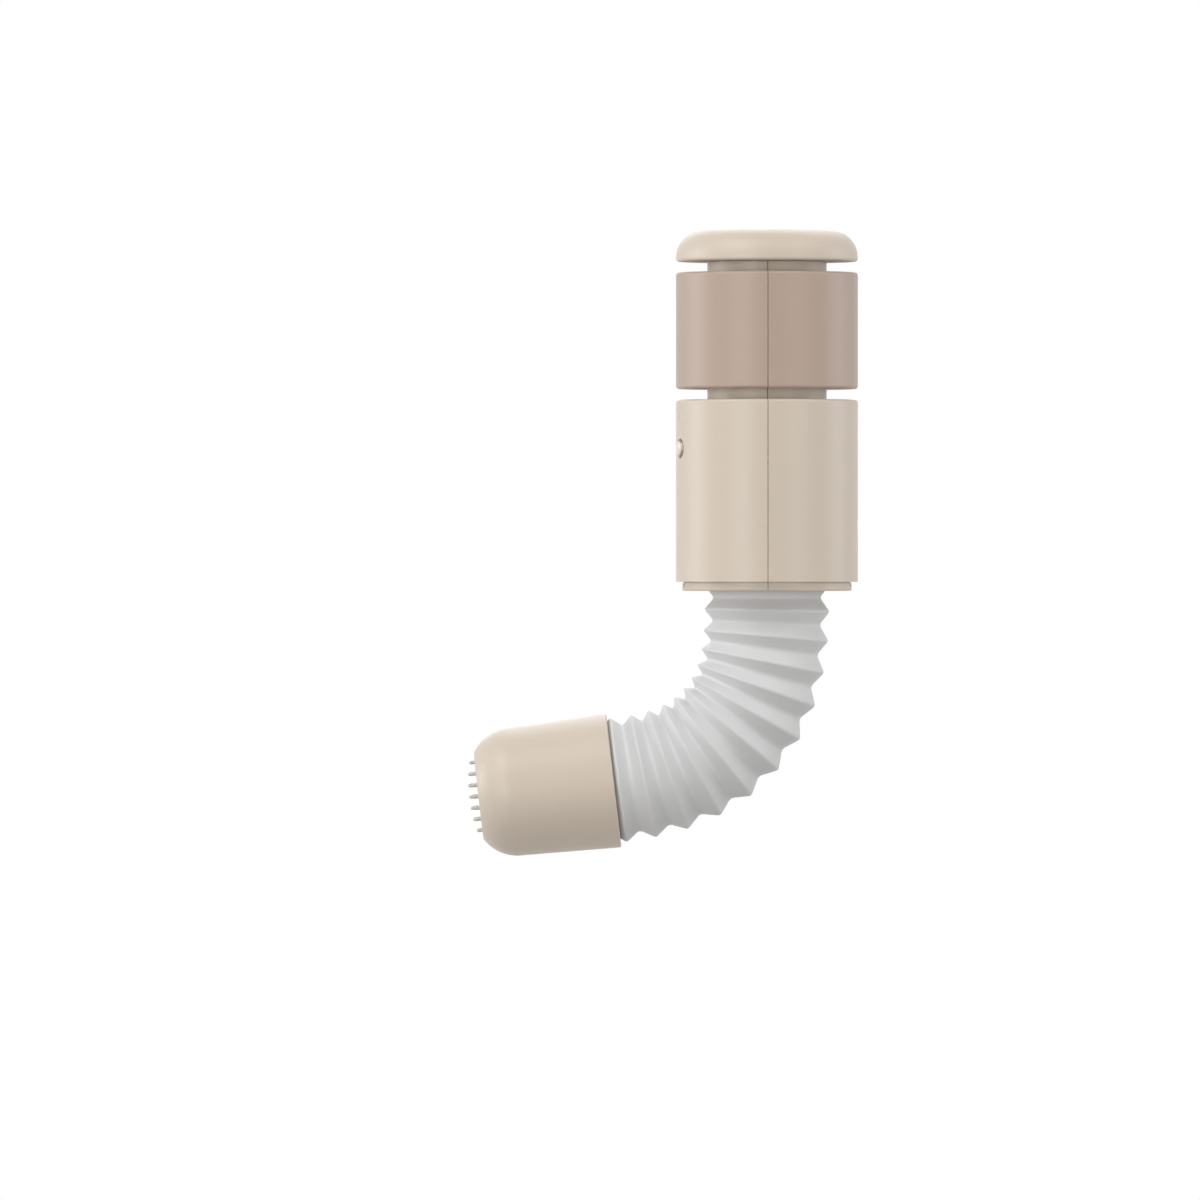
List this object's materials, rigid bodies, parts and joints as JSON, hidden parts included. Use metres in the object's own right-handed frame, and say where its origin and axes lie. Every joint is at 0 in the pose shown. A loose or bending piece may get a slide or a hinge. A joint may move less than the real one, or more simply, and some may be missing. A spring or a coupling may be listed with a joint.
{
  "type": "flexible-neck handheld massager",
  "caption": "Battery-powered handheld vibrating massager: cylindrical grip with pull-off cap and push button, bellows-covered bending neck, cup head with soft pins.",
  "frame": {"origin": "centre of the hanger groove, on the grip's axis, midway between the band and the housing", "axes": "+Z along the grip towards the end cap; the neck bends from -Z towards -X; the shells part in the plane X = 0"},
  "size_m": [0.1073, 0.05, 0.1718],
  "materials": {
    "body_plastic": "moulded ABS, warm beige, fine satin texture",
    "head_plastic": "moulded ABS, warm beige, satin",
    "grip_plastic": "moulded, taupe, satin soft-touch coat",
    "bellows_rubber": "moulded silicone rubber, near white, matt",
    "pin_silicone": "soft silicone, milky, slightly translucent",
    "button_plastic": "glossy pale cap",
    "light_lens": "clear-frosted light guide",
    "link_plastic": "natural acetal, light grey",
    "inner_plastic": "plain dark moulding",
    "chip_plastic": "black moulded package",
    "socket_plastic": "natural nylon",
    "washer_plastic": "low-friction sheet plastic",
    "board_laminate": "glass-epoxy laminate with green solder mask",
    "cell_jacket": "plain jacketed dry cell",
    "seal_rubber": "black rubber",
    "lead_sheath": "black flexible sheath",
    "spring_steel": "plain spring steel",
    "screw_steel": "zinc-plated steel",
    "motor_steel": "drawn steel can",
    "weight_metal": "dense sintered metal"
  },
  "bodies": {
    "grip": {"front_shell": "body_plastic", "rear_shell": "body_plastic", "band_front": "grip_plastic", "band_rear": "grip_plastic", "tube_clamp_ring": "spring_steel", "shell_screw": "screw_steel", "battery_seat": "inner_plastic", "battery_carrier": "inner_plastic", "battery_cells": "cell_jacket", "battery_contacts": "spring_steel", "circuit_board": "board_laminate", "board_chips": "chip_plastic", "lead_socket": "socket_plastic", "tact_switch": "chip_plastic", "status_led": "light_lens", "light_pipe": "light_lens", "body_lead": "lead_sheath", "swivel_washer": "washer_plastic"},
    "end_cap": {"cap_dome": "body_plastic", "cap_plug": "body_plastic", "cap_seal_ring": "seal_rubber", "cap_screw": "screw_steel", "battery_cushion": "seal_rubber"},
    "button": {"push_button": "button_plastic", "switch_plunger": "button_plastic"},
    "neck_base": {"swivel_collar": "link_plastic", "upper_cuff_clamp": "spring_steel", "neck_bellows": "bellows_rubber", "neck_lead": "lead_sheath"},
    "neck_link_01": {"neck_link_01": "link_plastic"},
    "neck_link_02": {"neck_link_02": "link_plastic"},
    "neck_link_03": {"neck_link_03": "link_plastic"},
    "neck_link_04": {"neck_link_04": "link_plastic"},
    "neck_link_05": {"neck_link_05": "link_plastic"},
    "neck_link_06": {"neck_link_06": "link_plastic"},
    "neck_link_07": {"neck_link_07": "link_plastic"},
    "neck_link_08": {"neck_link_08": "link_plastic"},
    "neck_link_09": {"neck_link_09": "link_plastic"},
    "neck_link_10": {"neck_link_10": "link_plastic"},
    "head": {"head_chassis": "link_plastic", "lower_cuff_clamp": "spring_steel", "head_cup": "head_plastic", "head_screws": "screw_steel", "motor_mount": "seal_rubber", "motor_can": "motor_steel", "pad_retainer": "inner_plastic", "pin_pad": "pin_silicone"},
    "motor_rotor": {"motor_shaft": "motor_steel", "eccentric_weight": "weight_metal"}
  },
  "joints": [
    {"name": "cap_pull", "type": "slide", "parent": "grip", "child": "end_cap", "axis": [0, 0, 1], "range_m": [0, 0.02]},
    {"name": "button_press", "type": "slide", "parent": "grip", "child": "button", "axis": [0.9563, 0.2924, 0], "range_m": [0, 0.00035], "stiffness_N_per_m": 1500},
    {"name": "neck_swivel", "type": "hinge", "parent": "grip", "child": "neck_base", "pos_m": [0, 0, -0.054], "axis": [0, 0, 1], "range_deg": [-120, 120]},
    {"name": "neck_bend_01", "type": "hinge", "parent": "neck_base", "child": "neck_link_01", "pos_m": [0, 0, -0.05933], "axis": [0, 1, 0], "range_deg": [-2.34, 0.58], "deforming": ["neck_bellows", "neck_lead"]},
    {"name": "neck_bend_02", "type": "hinge", "parent": "neck_link_01", "child": "neck_link_02", "pos_m": [-0.00028, 0, -0.06628], "axis": [0, 1, 0], "range_deg": [-5.02, 1.26], "deforming": ["neck_bellows", "neck_lead"]},
    {"name": "neck_bend_03", "type": "hinge", "parent": "neck_link_02", "child": "neck_link_03", "pos_m": [-0.00117, 0, -0.07319], "axis": [0, 1, 0], "range_deg": [-7.48, 1.87], "deforming": ["neck_bellows", "neck_lead"]},
    {"name": "neck_bend_04", "type": "hinge", "parent": "neck_link_03", "child": "neck_link_04", "pos_m": [-0.00296, 0, -0.07992], "axis": [0, 1, 0], "range_deg": [-9.48, 2.37], "deforming": ["neck_bellows", "neck_lead"]},
    {"name": "neck_bend_05", "type": "hinge", "parent": "neck_link_04", "child": "neck_link_05", "pos_m": [-0.00582, 0, -0.08626], "axis": [0, 1, 0], "range_deg": [-10.82, 2.7], "deforming": ["neck_bellows", "neck_lead"]},
    {"name": "neck_bend_06", "type": "hinge", "parent": "neck_link_05", "child": "neck_link_06", "pos_m": [-0.00983, 0, -0.09195], "axis": [0, 1, 0], "range_deg": [-11.37, 2.84], "deforming": ["neck_bellows", "neck_lead"]},
    {"name": "neck_bend_07", "type": "hinge", "parent": "neck_link_06", "child": "neck_link_07", "pos_m": [-0.01487, 0, -0.09674], "axis": [0, 1, 0], "range_deg": [-11.06, 2.77], "deforming": ["neck_bellows", "neck_lead"]},
    {"name": "neck_bend_08", "type": "hinge", "parent": "neck_link_07", "child": "neck_link_08", "pos_m": [-0.02075, 0, -0.10048], "axis": [0, 1, 0], "range_deg": [-9.91, 2.48], "deforming": ["neck_bellows", "neck_lead"]},
    {"name": "neck_bend_09", "type": "hinge", "parent": "neck_link_08", "child": "neck_link_09", "pos_m": [-0.02717, 0, -0.10315], "axis": [0, 1, 0], "range_deg": [-8, 2], "deforming": ["neck_bellows", "neck_lead"]},
    {"name": "neck_bend_10", "type": "hinge", "parent": "neck_link_09", "child": "neck_link_10", "pos_m": [-0.03391, 0, -0.10489], "axis": [0, 1, 0], "range_deg": [-5.48, 1.37], "deforming": ["neck_bellows", "neck_lead"]},
    {"name": "neck_bend_11", "type": "hinge", "parent": "neck_link_10", "child": "head", "pos_m": [-0.04079, 0, -0.10599], "axis": [0, 1, 0], "range_deg": [-2.56, 0.64], "deforming": ["neck_bellows", "neck_lead"]},
    {"name": "motor_spin", "type": "hinge", "parent": "head", "child": "motor_rotor", "pos_m": [-0.04079, 0, -0.10599], "axis": [-0.9936, 0, -0.1132], "continuous": true}
  ],
  "couplings": [
    {"joint": "neck_bend_01", "follows": "neck_bend_06", "ratio": 0.2055},
    {"joint": "neck_bend_02", "follows": "neck_bend_06", "ratio": 0.44159},
    {"joint": "neck_bend_03", "follows": "neck_bend_06", "ratio": 0.65807},
    {"joint": "neck_bend_04", "follows": "neck_bend_06", "ratio": 0.83363},
    {"joint": "neck_bend_05", "follows": "neck_bend_06", "ratio": 0.95153},
    {"joint": "neck_bend_07", "follows": "neck_bend_06", "ratio": 0.97324},
    {"joint": "neck_bend_08", "follows": "neck_bend_06", "ratio": 0.87201},
    {"joint": "neck_bend_09", "follows": "neck_bend_06", "ratio": 0.70375},
    {"joint": "neck_bend_10", "follows": "neck_bend_06", "ratio": 0.48203},
    {"joint": "neck_bend_11", "follows": "neck_bend_06", "ratio": 0.22549}
  ]
}
